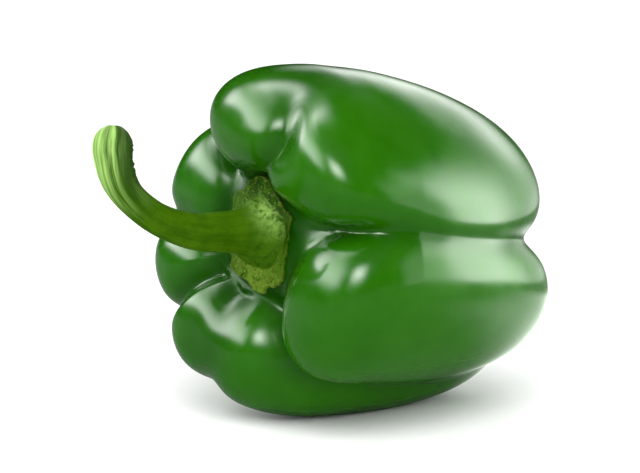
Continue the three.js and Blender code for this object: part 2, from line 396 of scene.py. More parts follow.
def evenOut(points, rows, around):
    # spreads the points evenly over the steep walls of the hollow, and keeps them on the skin
    points = points.copy()
    ready = fruit["evenRows"]
    count = ready * around
    fade = np.clip((ready - np.arange(1, ready - 1)) / fruit["evenFade"], 0, 1)[:, None, None]
    for _ in range(fruit["evenRounds"]):
        sheet = points[:count].reshape(ready, around, 3)
        inner = sheet[1:-1]
        drift = (sheet[:-2] + sheet[2:] + np.roll(inner, 1, 1) + np.roll(inner, -1, 1)) / 4 - inner
        moved = (inner + drift * fade * fruit["evenPull"]).reshape(-1, 3)
        off, outward = outwardAt(moved)
        moved -= outward * np.clip(off, -fruit["evenLift"], fruit["evenLift"])[:, None]
        points[around:count - around] = moved
    return points


def makeFruit(material):
    around, rows = fruit["around"], fruit["lengthwise"]
    polar = np.linspace(0, math.pi, rows + 2)[1:-1]
    turn = np.arange(around) * 2 * math.pi / around
    polarGrid, turnGrid = np.meshgrid(polar, turn, indexing="ij")
    sideways = np.sin(polarGrid)
    rays = np.stack([-np.cos(polarGrid), sideways * np.sin(turnGrid), sideways * np.cos(turnGrid)], -1)
    rays = np.vstack([rays.reshape(-1, 3), [[-1, 0, 0], [1, 0, 0]]])
    distance = skinDistance(rays)
    points = rays * distance[:, None]
    points[:, 0] += fruit["heart"]
    points = evenOut(points, rows, around)
    # how near each point is to a groove, which the skin darkens with painted shade
    _, groove = outsideFruit(points[:, 0], points[:, 1], points[:, 2], withGroove=True)
    fromAxis = np.hypot(points[:, 1], points[:, 2])
    tipScar = np.exp(-(fromAxis / fruit["scarRadius"]) ** 2) * (points[:, 0] > fruit["heart"])
    # the hollow round the calyx, which the skin darkens with painted shade
    hollow = smoothStep(-fromAxis, *fruit["hollowEdge"]) * (points[:, 0] < fruit["middle"])
    lift = fruit["relief"] * ripple(points, fruit["reliefSeed"], *fruit["reliefWaves"])
    lift -= fruit["scarDepth"] * tipScar
    for spot, size, height in fruit["swells"]:
        lift += height * np.exp(-np.sum((points - spot) ** 2, 1) / size ** 2)
    points += outwardAt(points)[1] * lift[:, None]
    lying = lieDown(points)
    lowest = lying[:, 2].min() + fruit["flatDepth"]
    lying[:, 2] = np.maximum(lying[:, 2], lowest)  # the small flat spot it rests on
    boxLow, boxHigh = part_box("fruit")
    middle = (lying.min(0) + lying.max(0)) / 2
    boxMiddle = (np.array(boxLow) + np.array(boxHigh)) / 2 / mm
    place = np.array([boxMiddle[0] - middle[0], boxMiddle[1] - middle[1], -lowest])
    total = rows * around
    faces = ringFaces(rows, around, total, total + 1)
    attributes = {"groove": groove, "scar": tipScar, "hollow": hollow}
    piece = meshPiece("fruitSkin", (lying + place) * mm, faces, attributes, material)
    faceOutward(piece)
    print("fruit skin:", len(piece.data.polygons), "faces, placed at", place.round(2))
    return piece, place


# the stem's route and girth, and the calyx plate

stem = {
    "route": ((3, 0.8, 1.5), (-5, 0.8, 1.5), (-13, 0.8, 1.3), (-23.5, 0.6, 1.6), (-36, 0, 5.8),
              (-44, -2, 12.8), (-45.5, -4.5, 20.5), (-44.8, -6, 27)),
    "girth": ((0, 9.2), (0.06, 9.2), (0.09, 8.6), (0.12, 7.2), (0.15, 6.1), (0.19, 5.5), (0.24, 5.2),
              (0.33, 4.9), (0.45, 4.4), (0.6, 4), (0.75, 4.1), (0.86, 4.7), (0.91, 5), (0.945, 4.8),
              (0.97, 4.2), (0.985, 3.4), (1, 2)),  # share of the route's length, radius
    "routePoints": 241, "seam": 0.22, "sides": 180, "steps": 260, "ribs": 5, "ribShare": 0.05,
    "ribTwist": 2.0, "cutStarts": 0.95, "cutDish": 0.5, "streakHeight": 0.28, "ragHeight": 0.55, "seed": 4,
    "mergeWithin": 0.004, "joinWithin": 0.03,
}
calyx = {
    "corners": ((8, 17), (60, 14.2), (131, 14.8), (176, 14.4), (226, 15), (309, 16)),  # turn, reach
    "thick": 2.0, "edgeThick": 0.7, "thinnest": 0.6, "evenReach": 3.0, "evenPoints": 8,
    "sunk": 0.9, "underShares": (0.15, 0.35, 0.55, 0.75, 0.9, 0.97),
    "rimSteps": ((1.0, 0.5), (1.012, -0.2), (1.012, -0.6)),  # share of the reach, how far into the flesh
    "plateRings": 60, "hubRings": 60, "fillet": 40, "swell": 0.3, "swellTurn": 95, "swellWidth": 45,
    "footShare": 0.07, "hubShare": 0.08, "rimRise": 0.15, "riseMiddle": 0.06, "riseWidth": 0.07,
    "crumple": 0.16, "crumpleWaves": (5.0, 1.1), "crumpleSeed": 21, "calmCrumple": 0.25,
    "edgeWander": 0.3, "edgeWaves": (6.0, 1.6), "edgeSeed": 11,
    "cushion": 0.22, "cushionWaves": (5.0, 1.6), "cushionSeed": 31,
}


def curvePoints(stops, samples):
    # a centripetal curve through the stops, evenly sampled by length
    stops = np.asarray(stops, float)
    first = stops[0] * 2 - stops[1]
    last = stops[-1] * 2 - stops[-2]
    held = np.vstack([first, stops, last])
    found = []
    for i in range(1, len(held) - 2):
        p0, p1, p2, p3 = held[i - 1:i + 3]
        knots = [0.0]
        for a, b in ((p0, p1), (p1, p2), (p2, p3)):
            knots.append(knots[-1] + max(np.linalg.norm(b - a), 1e-6) ** 0.5)
        t0, t1, t2, t3 = knots
        for t in np.linspace(t1, t2, 80, endpoint=False):
            a1 = (t1 - t) / (t1 - t0) * p0 + (t - t0) / (t1 - t0) * p1
            a2 = (t2 - t) / (t2 - t1) * p1 + (t - t1) / (t2 - t1) * p2
            a3 = (t3 - t) / (t3 - t2) * p2 + (t - t2) / (t3 - t2) * p3
            b1 = (t2 - t) / (t2 - t0) * a1 + (t - t0) / (t2 - t0) * a2
            b2 = (t3 - t) / (t3 - t1) * a2 + (t - t1) / (t3 - t1) * a3
            found.append((t2 - t) / (t2 - t1) * b1 + (t - t1) / (t2 - t1) * b2)
    found = np.vstack([found, stops[-1:]])
    run = np.concatenate([[0], np.cumsum(np.linalg.norm(np.diff(found, axis=0), axis=1))])
    even = np.linspace(0, run[-1], samples)
    return np.stack([np.interp(even, run, found[:, k]) for k in range(3)], 1), run[-1]


def stemRadius(share):
    shares, radii = np.array(stem["girth"], float).T
    slopes = np.gradient(radii, shares)
    share = np.clip(share, 0, 1)
    spot = np.clip(np.searchsorted(shares, share, side="right") - 1, 0, len(shares) - 2)
    width = shares[spot + 1] - shares[spot]
    t = (share - shares[spot]) / width
    return ((2 * t ** 3 - 3 * t ** 2 + 1) * radii[spot] + (t ** 3 - 2 * t ** 2 + t) * width * slopes[spot]
            + (3 * t ** 2 - 2 * t ** 3) * radii[spot + 1] + (t ** 3 - t ** 2) * width * slopes[spot + 1])


def makeStemRod(place, material):
    samples = stem["routePoints"]
    route, length = curvePoints(stem["route"], samples)
    world = (lieDown(route) + place) * mm
    line = bpy.data.curves.new("stemRoute", "CURVE")
    line.dimensions = "3D"
    spline = line.splines.new("POLY")
    spline.points.add(samples - 1)
    shares = np.linspace(0, 1, samples)
    for point, spot, radius in zip(spline.points, world, stemRadius(shares)):
        point.co = (*spot, 1)
        point.radius = radius * mm
    holder = addObject("stemRoute", line)

    inputs = (
        ("Sides", "NodeSocketInt", stem["sides"]), ("Steps", "NodeSocketInt", stem["steps"]),
        ("Start", "NodeSocketFloat", stem["seam"]), ("Cut Start", "NodeSocketFloat", stem["cutStarts"]),
        ("Cut Dish", "NodeSocketFloat", stem["cutDish"] * mm),
        ("Ribs", "NodeSocketFloat", float(stem["ribs"])),
        ("Rib Share", "NodeSocketFloat", stem["ribShare"]),
        ("Rib Twist", "NodeSocketFloat", stem["ribTwist"]),
        ("Streak Height", "NodeSocketFloat", stem["streakHeight"] * mm),
        ("Rag Height", "NodeSocketFloat", stem["ragHeight"] * mm),
        ("Seed", "NodeSocketFloat", float(stem["seed"])), ("Material", "NodeSocketMaterial", material),
    )
    tree, sockets, given = startTree("ribbedStem", inputs)
    sheet = addNode(tree, "GeometryNodeMeshGrid", {
        "Size X": 1.0, "Size Y": 1.0,
        "Vertices X": plus(tree, given["Steps"], 1.0), "Vertices Y": plus(tree, given["Sides"], 1.0),
    })
    flat = addNode(tree, "ShaderNodeSeparateXYZ", {0: addNode(tree, "GeometryNodeInputPosition").outputs[0]})
    lengthwise = plus(tree, flat.outputs["X"], 0.5)
    share = rangeOf(tree, lengthwise, 0.0, given["Cut Start"], given["Start"], 1.0, smooth=False)
    closing = rangeOf(tree, lengthwise, given["Cut Start"], 1.0, 1.0, 0.0, smooth=False)
    angle = times(tree, plus(tree, flat.outputs["Y"], 0.5), 2 * math.pi)
    cosine = calc(tree, "COSINE", angle)
    sine = calc(tree, "SINE", angle)
    radius = addNode(tree, "GeometryNodeInputRadius").outputs[0]
    along = {"Curves": given["Geometry"], "Value": radius, "Factor": share}
    sample = addNode(tree, "GeometryNodeSampleCurve", along, mode="FACTOR").outputs

    # two headings square to the route: side is level, over points away from the ground
    tangent = vectorCalc(tree, "NORMALIZE", sample["Tangent"])
    across = (0.0, 1.0, 0.0)
    leaning = scaled(tree, tangent, vectorCalc(tree, "DOT_PRODUCT", tangent, across, out="Value"))
    side = vectorCalc(tree, "NORMALIZE", vectorCalc(tree, "SUBTRACT", across, leaning))
    over = vectorCalc(tree, "CROSS_PRODUCT", side, tangent)
    swirl = plus(tree, times(tree, angle, given["Ribs"]), times(tree, share, given["Rib Twist"]))
    rib = calc(tree, "MULTIPLY_ADD", calc(tree, "COSINE", swirl), given["Rib Share"], 1.0)

    # long streaks along the stem, and ragged bumps on its inner side below the tip
    roundPlace = addNode(tree, "ShaderNodeCombineXYZ", {0: cosine, 1: sine, 2: share}).outputs[0]
    longPlace = vectorCalc(tree, "MULTIPLY", roundPlace, (1.0, 1.0, 2.2))
    streaks = calc(tree, "SUBTRACT", noise(tree, longPlace, 4.5, 3.0, 0.55, seed=given["Seed"]), 0.5)
    shortPlace = vectorCalc(tree, "MULTIPLY", roundPlace, (1.0, 1.0, 16.0))
    rags = rangeOf(tree, noise(tree, shortPlace, 2.6, seed=given["Seed"]), 0.42, 0.62)
    belowTip = times(tree, rangeOf(tree, share, 0.7, 0.8), rangeOf(tree, share, 0.93, 0.99, 1.0, 0.0))
    innerSide = times(tree, rangeOf(tree, cosine, 0.45, 0.85), belowTip)
    rag = times(tree, times(tree, rags, innerSide), given["Rag Height"])
    bumps = plus(tree, times(tree, streaks, given["Streak Height"]), rag)
    begins = rangeOf(tree, share, stem["seam"], stem["seam"] + 0.08)
    bumps = times(tree, bumps, times(tree, begins, closing))

    reach = plus(tree, times(tree, times(tree, sample["Value"], rib), closing), bumps)
    overStep = scaled(tree, over, times(tree, reach, cosine))
    sideStep = scaled(tree, side, times(tree, reach, sine))
    dishShare = calc(tree, "SUBTRACT", 1.0, times(tree, closing, closing))
    dish = scaled(tree, tangent, times(tree, dishShare, given["Cut Dish"]))
    spot = vectorCalc(tree, "ADD", sample["Position"], overStep)
    spot = vectorCalc(tree, "ADD", spot, vectorCalc(tree, "SUBTRACT", sideStep, dish))
    noted = sheet.outputs["Mesh"]
    for label, value, kind in (("stemRound", roundPlace, "FLOAT_VECTOR"),
                               ("cutEnd", calc(tree, "SUBTRACT", 1.0, closing), "FLOAT")):
        note = {"Geometry": noted, "Name": label, "Value": value}
        stored = addNode(tree, "GeometryNodeStoreNamedAttribute", note, data_type=kind, domain="POINT")
        noted = stored.outputs[0]
    shaped = addNode(tree, "GeometryNodeSetPosition", {"Geometry": noted, "Position": spot})
    touching = {"Geometry": shaped.outputs[0], "Distance": stem["mergeWithin"] * mm}
    closed = addNode(tree, "GeometryNodeMergeByDistance", touching)
    endTree(tree, closed.outputs[0], given["Material"])
    piece = runTree(holder, "stemRod", tree, sockets, inputs)
    print("stem rod:", len(piece.data.polygons), "faces,", round(length, 1), "mm long")
    return piece, route, length


def calyxReach(turn):
    # straight sides between the corners
    turn = np.degrees(turn) % 360
    reach = np.zeros(len(turn))
    corners = calyx["corners"]
    for (fromTurn, fromReach), (toTurn, toReach) in zip(corners, corners[1:] + corners[:1]):
        span = (toTurn - fromTurn) % 360
        past = (turn - fromTurn) % 360
        inside = past <= span
        side = fromReach * toReach * math.sin(math.radians(span))
        slant = fromReach * np.sin(np.radians(past)) + toReach * np.sin(np.radians(span - past))
        reach = np.where(inside, side / np.where(inside, slant, 1), reach)
    return reach


def calyxTop(near, up, thick):
    # the plate bridges small dips, and is nowhere thinner than its thinnest
    spread = 2 * math.pi * np.arange(calyx["evenPoints"]) / calyx["evenPoints"]
    steps = calyx["evenReach"] * np.stack([np.sin(spread), np.cos(spread)], 1)
    ring = [hollowFloor(near + nearStep, up + upStep) for nearStep, upStep in steps]
    return np.minimum(np.mean(ring, 0) - thick, hollowFloor(near, up) - calyx["thinnest"])


def makeCalyx(place, route, length, material):
    # each spoke runs from under the rim, over the plate and up the hub to the seam with the stem
    around, hubRings = stem["sides"], calyx["hubRings"]
    angle = np.arange(around) * 2 * math.pi / around
    turn = -angle
    degrees = np.degrees(turn) % 360
    footNear, footUp = route[0, 1], route[0, 2]
    reach = calyxReach(turn)
    reach = np.mean([np.roll(reach, k) for k in (-1, 0, 1)], 0)
    rimNear, rimUp = reach * np.sin(turn), reach * np.cos(turn)
    rim = np.stack([rimNear, rimUp, np.zeros(around)], 1)
    grow = 1 + calyx["edgeWander"] * ripple(rim, calyx["edgeSeed"], *calyx["edgeWaves"]) / reach
    rimNear, rimUp = rimNear * grow, rimUp * grow
    swell = 1 + calyx["swell"] * np.exp(-((degrees - calyx["swellTurn"]) / calyx["swellWidth"]) ** 2)

    def ribs(twist):
        return 1 + stem["ribShare"] * np.cos(stem["ribs"] * angle + twist)

    hubRadius = stemRadius(calyx["footShare"]) * ribs(0) * swell
    hubNear, hubUp = footNear + hubRadius * np.sin(turn), footUp + hubRadius * np.cos(turn)

    spokes = []
    under = [(share, calyx["sunk"]) for share in calyx["underShares"]]  # hidden in the flesh
    for share, drop in (*under, *calyx["rimSteps"]):
        near, up = footNear + (rimNear - footNear) * share, footUp + (rimUp - footUp) * share
        spokes.append((hollowFloor(near, up) + drop, near, up, 1.0))
    hidden = len(spokes)
    for k in range(calyx["plateRings"]):
        share = k / calyx["plateRings"]
        near, up = rimNear + (hubNear - rimNear) * share, rimUp + (hubUp - rimUp) * share
        thick = calyx["edgeThick"] + (calyx["thick"] - calyx["edgeThick"]) * share
        rise = calyx["rimRise"] * math.exp(-((share - calyx["riseMiddle"]) / calyx["riseWidth"]) ** 2)
        spokes.append((calyxTop(near, up, thick) - rise, near, up, 1 - share))
    hubFoot = spokes[-1][0]
    startShare = np.clip((route[0, 0] - hubFoot) / length, 0.01, stem["seam"] - 0.05)
    for k in range(1, hubRings + 1):
        share = startShare + (stem["seam"] - startShare) * k / hubRings
        radius = stemRadius(share) * ribs(stem["ribTwist"] * share)
        radius = radius * (1 + (swell - 1) * (1 - smoothStep(share, calyx["hubShare"], 0.2)))
        spot = share * (len(route) - 1)
        low = np.clip(spot.astype(int), 0, len(route) - 2)
        centre = route[low] + (route[low + 1] - route[low]) * (spot - low)[:, None]
        tangent = route[np.minimum(low + 2, len(route) - 1)] - route[np.maximum(low - 1, 0)]
        tangent /= np.linalg.norm(tangent, axis=1)[:, None]
        side = np.array([0.0, -1.0, 0.0]) + tangent[:, 1:2] * tangent
        side /= np.linalg.norm(side, axis=1)[:, None]
        over = -np.cross(side, tangent)  # near points the other way from the row frame's y
        where = centre + side * (radius * np.sin(angle))[:, None] + over * (radius * np.cos(angle))[:, None]
        spokes.append((*where.T, 0.0))

    rows = len(spokes)
    grid = np.stack([np.stack(np.broadcast_arrays(*spoke[:3]), 1) for spoke in spokes])
    fixed = grid.copy()
    for _ in range(calyx["fillet"]):  # rounds the corner where the hub rises from the plate
        middle = (grid[:-2] + grid[2:]) / 4 + grid[1:-1] / 2
        grid[hidden + 4:-3] = middle[hidden + 3:-2]
    # and the rim's edge, once
    before, after = fixed[hidden - 3:hidden + 3], fixed[hidden - 1:hidden + 5]
    grid[hidden - 2:hidden + 4] = (before + 2 * fixed[hidden - 2:hidden + 4] + after) / 4
    flat = grid.reshape(-1, 3)

    # how corky each place is: the flap above the stem and the patch below it are dark and crumpled
    turnGrid = np.broadcast_to(degrees, (rows, around)).ravel()
    outward = np.repeat(np.array([spoke[3] for spoke in spokes]), around)
    shown = np.arange(rows * around) >= hidden * around
    hubShare = np.zeros(rows * around)
    hubShare[-hubRings * around:] = np.repeat(np.linspace(0, 1, hubRings), around)

    def bell(value, centre, width):
        return np.exp(-((value - centre) / width) ** 2)

    def toward(centre, width):
        return bell(np.abs((turnGrid - centre + 180) % 360 - 180), 0, width)

    cork = np.clip(0.3 + 1.0 * toward(10, 48) + 0.9 * toward(190, 55), 0, 1)
    cork *= smoothStep(outward, -0.02, 0.16)
    lowPatch = toward(175, 62) * smoothStep(outward, -0.02, 0.1)
    rimLine = bell(outward, 0.97, 0.05) * shown
    # pale marks a painted highlight on the hub's upper near shoulder
    pale = toward(45, 34) * bell(outward, 0.02, 0.22) * bell(hubShare, 0.15, 0.28)

    crumple = calyx["crumple"] * ripple(flat, calyx["crumpleSeed"], *calyx["crumpleWaves"], count=60)
    crumple *= calyx["calmCrumple"] + (1 - calyx["calmCrumple"]) * cork
    cushion = calyx["cushion"] * ripple(flat, calyx["cushionSeed"], *calyx["cushionWaves"], count=40)
    cushion *= smoothStep(hubShare, 0.0, 0.1) * (1 - smoothStep(hubShare, 0.3, 0.8))
    sideways = flat[:, 1:3] - [footNear, footUp]
    flat[:, 1:3] += sideways / np.linalg.norm(sideways, axis=1)[:, None] * cushion[:, None]
    flat[:, 0] -= crumple * smoothStep(outward, 0.0, 0.2) * shown

    stemShare = np.where(outward > 0, calyx["hubShare"] - 0.14 * outward, 0.0)
    stemShare[-hubRings * around:] = np.repeat(np.linspace(calyx["hubShare"], stem["seam"], hubRings), around)
    spread = np.broadcast_to(angle, (rows, around)).ravel()
    stemRound = np.stack([np.cos(spread), np.sin(spread), stemShare], 1)
    bottom = np.array([[hollowFloor(footNear, footUp) + calyx["sunk"], footNear, footUp]])
    points = (lieDown(np.vstack([flat, bottom])) + place) * mm
    faces = ringFaces(rows, around, firstPole=rows * around)
    marks = {"cork": cork, "rimLine": rimLine, "pale": pale, "lowPatch": lowPatch}
    marks["cutEnd"] = np.zeros(rows * around)
    attributes = {name: np.append(values, 0) for name, values in marks.items()}
    attributes["stemRound"] = np.vstack([stemRound, [[1, 0, 0]]])
    piece = meshPiece("calyxPlate", points, faces, attributes, material)
    print("calyx plate:", len(piece.data.polygons), "faces")
    return piece


def joinPieces(name, first, *others):
    bpy.ops.object.select_all(action="DESELECT")
    for piece in (first, *others):
        piece.select_set(True)
    bpy.context.view_layer.objects.active = first
    bpy.ops.object.join()
    sheet = bmesh.new()
    sheet.from_mesh(first.data)
    bmesh.ops.remove_doubles(sheet, verts=sheet.verts, dist=stem["joinWithin"] * mm)
    bmesh.ops.recalc_face_normals(sheet, faces=sheet.faces)
    openEdges = sum(1 for edge in sheet.edges if not edge.is_manifold)
    if sheet.calc_volume(signed=True) < 0:
        bmesh.ops.reverse_faces(sheet, faces=sheet.faces)
    sheet.to_mesh(first.data)
    sheet.free()
    first.data.shade_smooth()
    first.name = name
    first.data.name = name
    print(name, "joined:", len(first.data.polygons), "faces,", openEdges, "open edges")
    return first


# stem and calyx material

stemLook = {
    # light is the pale streak colour, and also the painted light on the tip's outer side
    "shadow": (0.018, 0.052, 0.001, 1), "mid": (0.042, 0.112, 0.001, 1), "light": (0.38, 0.64, 0.17, 1),
    # pale is the painted highlight colour on the hub
    "hub": (0.024, 0.076, 0.0, 1), "pale": (0.23, 0.40, 0.085, 1), "dark": (0.009, 0.036, 0.001, 1),
    "cork": (0.013, 0.05, 0.001, 1), "paleCork": (0.10, 0.18, 0.014, 1), "speck": (0.16, 0.25, 0.035, 1),
    "rim": (0.075, 0.13, 0.01, 1), "cut": (0.10, 0.18, 0.03, 1),
    "wideScale": 2.6, "wideShare": 0.68, "fineScale": 8.5, "fineShare": 0.32, "streakEdges": (0.38, 0.62),
    "stripeShare": 0.7, "litFrom": (0.66, 0.9), "litShares": (0.35, 0.8),
    "darkFrom": (0.6, 0.8), "darkShare": 0.9,
    "blotchScale": 190.0, "mottleScale": 620.0, "fleckScale": 480.0, "fleckShare": 0.75, "corkScale": 420.0,
    "grainScale": 1050.0, "speckScale": 500.0, "rimScale": 350.0,
    "roughness": 0.45, "corkRoughness": 0.8, "specular": 0.02, "bumpStrength": 0.5, "bumpDepth": 0.0006,
}


def stemMaterial():
    look = stemLook
    material, tree, shader = newMaterial("ribbedStemGreen")
    place = addNode(tree, "ShaderNodeTexCoord").outputs["Object"]
    roundPlace = readAttribute(tree, "stemRound", "Vector")
    compass = addNode(tree, "ShaderNodeSeparateXYZ", {0: roundPlace}).outputs
    share = compass["Z"]

    # streaks along the stem, which are pale near the tip and calm lower down
    widePlace = vectorCalc(tree, "MULTIPLY", roundPlace, (1.0, 1.0, 1.2))
    finePlace = vectorCalc(tree, "MULTIPLY", roundPlace, (1.0, 1.0, 0.8))
    wide = noise(tree, widePlace, look["wideScale"], 3.0, 0.55)
    fine = noise(tree, finePlace, look["fineScale"], 3.0, 0.6)
    streak = plus(tree, times(tree, wide, look["wideShare"]), times(tree, fine, look["fineShare"]))
    stripes = mixColours(tree, rangeOf(tree, streak, *look["streakEdges"]), look["shadow"], look["light"])
    blotch = noise(tree, place, look["blotchScale"], 3.0, 0.6)
    calmShare = plus(tree, times(tree, streak, 0.5), times(tree, blotch, 0.5))
    calm = mixColours(tree, rangeOf(tree, calmShare, *look["streakEdges"]), look["hub"], look["mid"])
    striped = mixColours(tree, look["stripeShare"], calm, stripes)
    colour = mixColours(tree, rangeOf(tree, share, 0.6, 0.92), calm, striped)

    # painted light on the tip's outer side, and dark on its inner side
    inward = calc(tree, "SUBTRACT", times(tree, compass["X"], 0.8), times(tree, compass["Y"], 0.6))
    inward = plus(tree, inward, times(tree, calc(tree, "SUBTRACT", fine, 0.5), 0.9))
    litSide = rangeOf(tree, inward, -0.9, -0.1, 1.0, 0.0)
    litSide = times(tree, litSide, rangeOf(tree, share, *look["litFrom"]))
    litSide = times(tree, litSide, rangeOf(tree, streak, 0.38, 0.58, *look["litShares"]))
    colour = mixColours(tree, litSide, colour, look["light"])
    darkSide = times(tree, rangeOf(tree, inward, 0.1, 0.7), rangeOf(tree, share, *look["darkFrom"]))
    colour = mixColours(tree, times(tree, darkSide, look["darkShare"]), colour, look["dark"])

    # the hub's painted highlight patch and flecks, then the cork, its specks, the rim and the cut
    mottle = noise(tree, place, look["mottleScale"], 4.0, 0.62)
    hubHighlightShare = times(tree, readAttribute(tree, "pale"), rangeOf(tree, mottle, 0.3, 0.6))
    colour = mixColours(tree, hubHighlightShare, colour, look["pale"])
    flecks = rangeOf(tree, noise(tree, place, look["fleckScale"], 4.0, 0.7), 0.5, 0.68)
    flecks = times(tree, flecks, rangeOf(tree, share, 0.1, 0.2, look["fleckShare"], 0.0))
    colour = mixColours(tree, flecks, colour, look["cork"])
    cork = readAttribute(tree, "cork")
    corkShare = times(tree, cork, rangeOf(tree, noise(tree, place, look["corkScale"], 4.0, 0.65), 0.34, 0.5))
    corkTone = mixColours(tree, readAttribute(tree, "lowPatch"), look["cork"], look["paleCork"])
    colour = mixColours(tree, corkShare, colour, corkTone)
    grain = {"Vector": place, "Scale": look["grainScale"], "Randomness": 1.0}
    grains = addNode(tree, "ShaderNodeTexVoronoi", grain).outputs["Distance"]
    grains = rangeOf(tree, grains, 0.16, 0.34, 1.0, 0.0)
    specks = times(tree, grains, rangeOf(tree, noise(tree, place, look["speckScale"]), 0.45, 0.6))
    colour = mixColours(tree, times(tree, specks, rangeOf(tree, cork, 0.1, 0.7)), colour, look["speck"])
    rimRagged = rangeOf(tree, noise(tree, place, look["rimScale"], 3.0), 0.35, 0.6)
    colour = mixColours(tree, times(tree, readAttribute(tree, "rimLine"), rimRagged), colour, look["rim"])
    colour = mixColours(tree, rangeOf(tree, readAttribute(tree, "cutEnd"), 0.15, 0.5), colour, look["cut"])
    tree.links.new(colour, shader.inputs["Base Color"])
    rough = rangeOf(tree, cork, 0.0, 1.0, look["roughness"], look["corkRoughness"], smooth=False)
    tree.links.new(rough, shader.inputs["Roughness"])
    shader.inputs["Specular IOR Level"].default_value = look["specular"]
    height = plus(tree, times(tree, fine, 0.8), times(tree, mottle, 0.5))
    addBump(tree, shader, height, look["bumpStrength"], look["bumpDepth"])
    return material


# small corky warts strewn over the calyx

warts = {
    "density": 0.6e6, "smallest": 0.1, "largest": 0.36, "seed": 7, "flatness": 0.55, "corkFrom": (0.45, 0.95),
    "dark": (0.02, 0.045, 0.003, 1), "pale": (0.12, 0.17, 0.022, 1), "roughness": 0.6, "specular": 0.02,
    "toneScale": 700.0, "grainScale": 2500.0, "bumpStrength": 0.4, "bumpDepth": 0.0002,
}


def wartMaterial():
    material, tree, shader = newMaterial("corkWart")
    place = addNode(tree, "ShaderNodeTexCoord").outputs["Object"]
    tone = rangeOf(tree, noise(tree, place, warts["toneScale"], 3.0), 0.35, 0.65)
    tree.links.new(mixColours(tree, tone, warts["dark"], warts["pale"]), shader.inputs["Base Color"])
    shader.inputs["Roughness"].default_value = warts["roughness"]
    shader.inputs["Specular IOR Level"].default_value = warts["specular"]
    addBump(tree, shader, noise(tree, place, warts["grainScale"]), warts["bumpStrength"], warts["bumpDepth"])
    return material


def makeWarts(base, material):
    inputs = (
        ("Density", "NodeSocketFloat", warts["density"]),
        ("Smallest", "NodeSocketFloat", warts["smallest"] * mm),
        ("Largest", "NodeSocketFloat", warts["largest"] * mm),
        ("Flatness", "NodeSocketFloat", warts["flatness"]),
        ("Seed", "NodeSocketInt", warts["seed"]), ("Material", "NodeSocketMaterial", material),
    )
    tree, sockets, given = startTree("corkWarts", inputs)
    cork = addNode(tree, "GeometryNodeInputNamedAttribute", {"Name": "cork"}, data_type="FLOAT").outputs[0]
    crowd = times(tree, rangeOf(tree, cork, *warts["corkFrom"]), given["Density"])
    strew = {"Mesh": given["Geometry"], "Density": crowd, "Seed": given["Seed"]}
    strewn = addNode(tree, "GeometryNodeDistributePointsOnFaces", strew).outputs
    wart = addNode(tree, "GeometryNodeMeshIcoSphere", {"Radius": 1.0, "Subdivisions": 2}).outputs["Mesh"]
    spread = {2: given["Smallest"], 3: given["Largest"], "Seed": given["Seed"]}
    size = addNode(tree, "FunctionNodeRandomValue", spread, data_type="FLOAT").outputs[1]
    flatter = times(tree, size, given["Flatness"])
    squashed = addNode(tree, "ShaderNodeCombineXYZ", {0: size, 1: size, 2: flatter}).outputs[0]
    where = {"Points": strewn["Points"], "Rotation": strewn["Rotation"], "Instance": wart, "Scale": squashed}
    placed = addNode(tree, "GeometryNodeInstanceOnPoints", where)
    endTree(tree, placed.outputs[0], given["Material"])
    holder = addObject("calyxWarts", base.data.copy())
    piece = runTree(holder, "calyxWarts", tree, sockets, inputs)
    print("calyx warts:", len(piece.data.polygons), "faces")
    return piece


skinGreen = pepperSkinMaterial()
fruitPiece, place = makeFruit(skinGreen)
stemGreen = stemMaterial()
rodPiece, stemPath, stemLength = makeStemRod(place, stemGreen)
calyxPiece = makeCalyx(place, stemPath, stemLength, stemGreen)
stemPiece = joinPieces("stemWithCalyx", calyxPiece, rodPiece)
wartPiece = makeWarts(stemPiece, wartMaterial())

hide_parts("fruit")
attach(fruitPiece, "root")
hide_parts("stem_with_calyx")
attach(stemPiece, "root")
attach(wartPiece, "root")


# studio: floor, sky, lights and camera

studio = {
    "azimuth": -37.4, "elevation": 12.0, "distance": 0.8, "lens": 173.25, "aimRight": 0.0156,
    "floorSize": 8.0, "floorColour": (0.9, 0.9, 0.9, 1), "floorInGloss": (0.3, 0.3, 0.3, 1),
    "skyDiffuse": 0.98, "skyGloss": 0.0, "skyShown": 1.0, "lightCentre": (0, 0, 0.045),
    "tinted": ("rightBox", "rightGlow", "floorCard"), "tint": (0.9, 1.0, 0.88),
}
softLights = (
    # name, turned to the picture's right, raised, half width, half height, distance, brightness,
    # shows in gloss, and the share of the box over which each edge fades: left and right as seen
    # from the pepper, bottom, top
    ("rightBox", 94, 13, 21, 25, 0.26, 16.5, True, 0.55, 0.3, 0.12, 0.5),
    ("rightGlow", 104, 13, 48, 26, 0.26, 3.8, True, 0.4, 0.1, 0.12, 0.4),
    ("leftBox", -82, 36, 48, 26, 1.2, 21.0, True, 0.35, 0.35, 0.22, 0.75),
    ("highBox", -100, 62, 33, 19, 1.2, 11.0, True, 0.5, 0.5, 0.4, 0.3),
    ("frontSpot", -8, 27, 20, 18, 1.2, 42.0, True, 0.5, 0.5, 0.5, 0.5),
    ("topBox", -150, 76, 27, 20, 1.2, 16.0, True, 0.5, 0.5, 0.5, 0.5),
    ("backStrip", 155, 23, 27, 16, 1.2, 4.6, True, 0.3, 0.3, 0.45, 0.5),
    ("frontFill", 5, 50, 24, 24, 1.2, 3.6, False),
    ("leftFill", -95, 30, 24, 24, 1.2, 1.7, False),
)
floorCard = {
    "outward": 0.105, "behind": 0.05, "up": 0.001, "width": 0.15, "depth": 0.17, "brightness": 3.2,
    "fades": (0.35, 0.3, 0.3, 0.3),
}


def pictureAxes():
    azimuth = math.radians(studio["azimuth"])
    levelBack = Vector((math.sin(azimuth), -math.cos(azimuth), 0))
    right = Vector((math.cos(azimuth), math.sin(azimuth), 0))
    return right, levelBack


